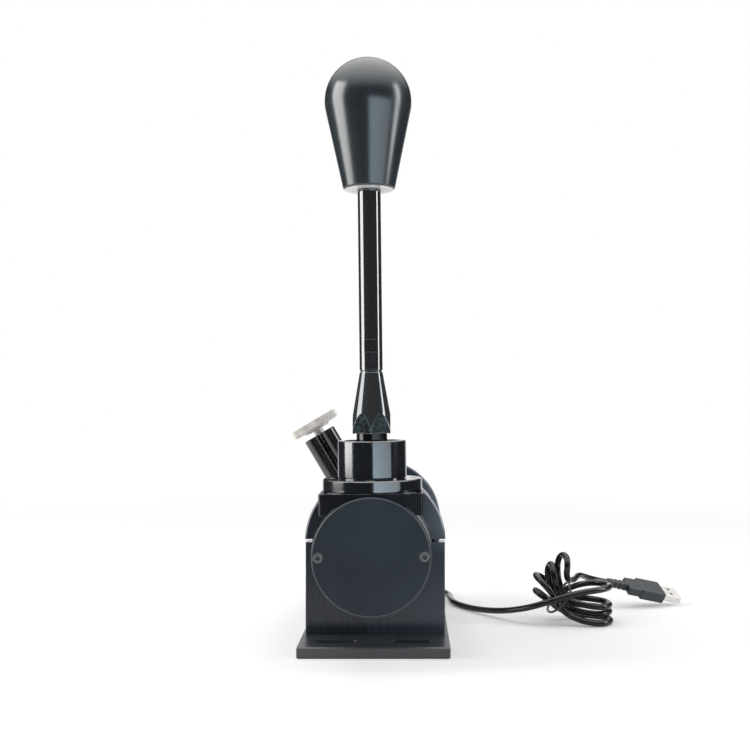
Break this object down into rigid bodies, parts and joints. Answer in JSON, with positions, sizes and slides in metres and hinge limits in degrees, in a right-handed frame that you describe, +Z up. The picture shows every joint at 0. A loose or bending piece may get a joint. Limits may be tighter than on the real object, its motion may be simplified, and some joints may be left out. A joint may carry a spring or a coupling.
{
  "type": "sequential gear shifter",
  "caption": "Bench-mounted sequential gear shifter for racing games: a turning drum in split clamps, a sprung lever with a tapered knob, and a coiled plug-in cord.",
  "frame": {"origin": "centre of the base plate's underside, between its four slots", "axes": "+X to the right as seen from the lever end, +Y from the lever end towards the cord end along the drum, +Z up"},
  "size_m": [0.2484, 0.2474, 0.3116],
  "materials": {
    "black_anodised": "black anodised, satin",
    "black_steel": "black, polished",
    "bright_steel": "ground",
    "plain_aluminium": "turned",
    "knurled_nickel": "nickel, knurled",
    "satin_plastic": "satin",
    "brass": "turned",
    "rubber_black": "matt",
    "cord_jacket": "smooth jacket",
    "black_plastic": "moulded",
    "plug_metal": "plated sheet",
    "white_plastic": "moulded",
    "board_green": "solder mask",
    "magnet_metal": "plated"
  },
  "bodies": {
    "base": {"base_plate": "black_anodised", "base_screws": "black_steel", "front_clamp_base": "black_anodised", "front_clamp_cap": "black_anodised", "rear_clamp_base": "black_anodised", "rear_clamp_cap": "black_anodised", "clamp_screws": "black_steel", "cord": "cord_jacket", "cord_hank": "cord_jacket", "cord_lead": "cord_jacket", "hank_tie": "black_plastic", "plug_relief": "cord_jacket", "plug_housing": "black_plastic", "plug_shell": "plug_metal", "plug_tongue": "white_plastic"},
    "drum": {"drum_shell": "black_anodised", "front_cover": "black_anodised", "cover_screws": "black_steel", "lever_block": "black_anodised", "block_screws": "black_steel", "guide_flange": "black_anodised", "flange_screws": "black_steel", "guide_collar": "black_anodised", "bump_ring": "rubber_black", "front_bearing_plate": "black_anodised", "rear_bearing_plate": "black_anodised", "bearing_outer_rings": "bright_steel", "bearing_balls": "bright_steel", "tension_block": "black_anodised", "tension_tube_left": "black_anodised", "tension_tube_right": "black_anodised", "spring_left": "bright_steel", "spring_right": "bright_steel", "rear_cap": "black_anodised", "cap_screws": "black_steel", "cord_gland": "cord_jacket", "sensor_board": "board_green", "sensor_chip": "black_plastic", "board_spacers": "brass", "board_lead": "cord_jacket"},
    "lever": {"pivot_shaft": "bright_steel", "bearing_inner_rings": "bright_steel", "shaft_rings": "bright_steel", "shaft_spacers": "plain_aluminium", "shaft_magnet": "magnet_metal", "lever_hub": "plain_aluminium", "hub_screws": "black_steel", "detent_cam": "plain_aluminium", "lever_post": "black_steel", "lever_crown": "black_steel", "lever_rod": "black_steel", "lever_knob": "satin_plastic", "knob_insert": "brass"},
    "plunger_left": {"plunger_left": "bright_steel"},
    "plunger_right": {"plunger_right": "bright_steel"},
    "bridge": {"tension_bridge": "black_anodised", "spring_seats": "bright_steel"},
    "wheel": {"thumb_wheel": "knurled_nickel", "tension_stud": "bright_steel", "stud_rings": "bright_steel"}
  },
  "joints": [
    {"name": "drum_turn", "type": "hinge", "parent": "base", "child": "drum", "pos_m": [0, 0, 0.0573], "axis": [0, 1, 0], "range_deg": [-30, 30]},
    {"name": "lever_swing", "type": "hinge", "parent": "drum", "child": "lever", "pos_m": [0, 0, 0.0573], "axis": [0, 1, 0], "range_deg": [-5, 5], "stiffness_Nm_per_rad": 20},
    {"name": "plunger_left_slide", "type": "slide", "parent": "drum", "child": "plunger_left", "axis": [-0.5098, 0, 0.8603], "range_m": [-0.0017, 0.0017], "deforming": ["spring_left"]},
    {"name": "plunger_right_slide", "type": "slide", "parent": "drum", "child": "plunger_right", "axis": [-0.5098, 0, 0.8603], "range_m": [-0.0017, 0.0017], "deforming": ["spring_right"]},
    {"name": "tension_travel", "type": "slide", "parent": "drum", "child": "bridge", "axis": [-0.5098, 0, 0.8603], "range_m": [-0.002, 0.002]},
    {"name": "wheel_turn", "type": "hinge", "parent": "bridge", "child": "wheel", "pos_m": [-0.03752, -0.0124, 0.12062], "axis": [-0.5098, 0, 0.8603], "range_deg": [-720, 720]}
  ],
  "couplings": [
    {"joint": "plunger_left_slide", "follows": "lever_swing", "m_per_rad": -0.019},
    {"joint": "plunger_right_slide", "follows": "lever_swing", "m_per_rad": 0.019},
    {"joint": "wheel_turn", "follows": "tension_travel", "rad_per_m": 6283.2}
  ]
}
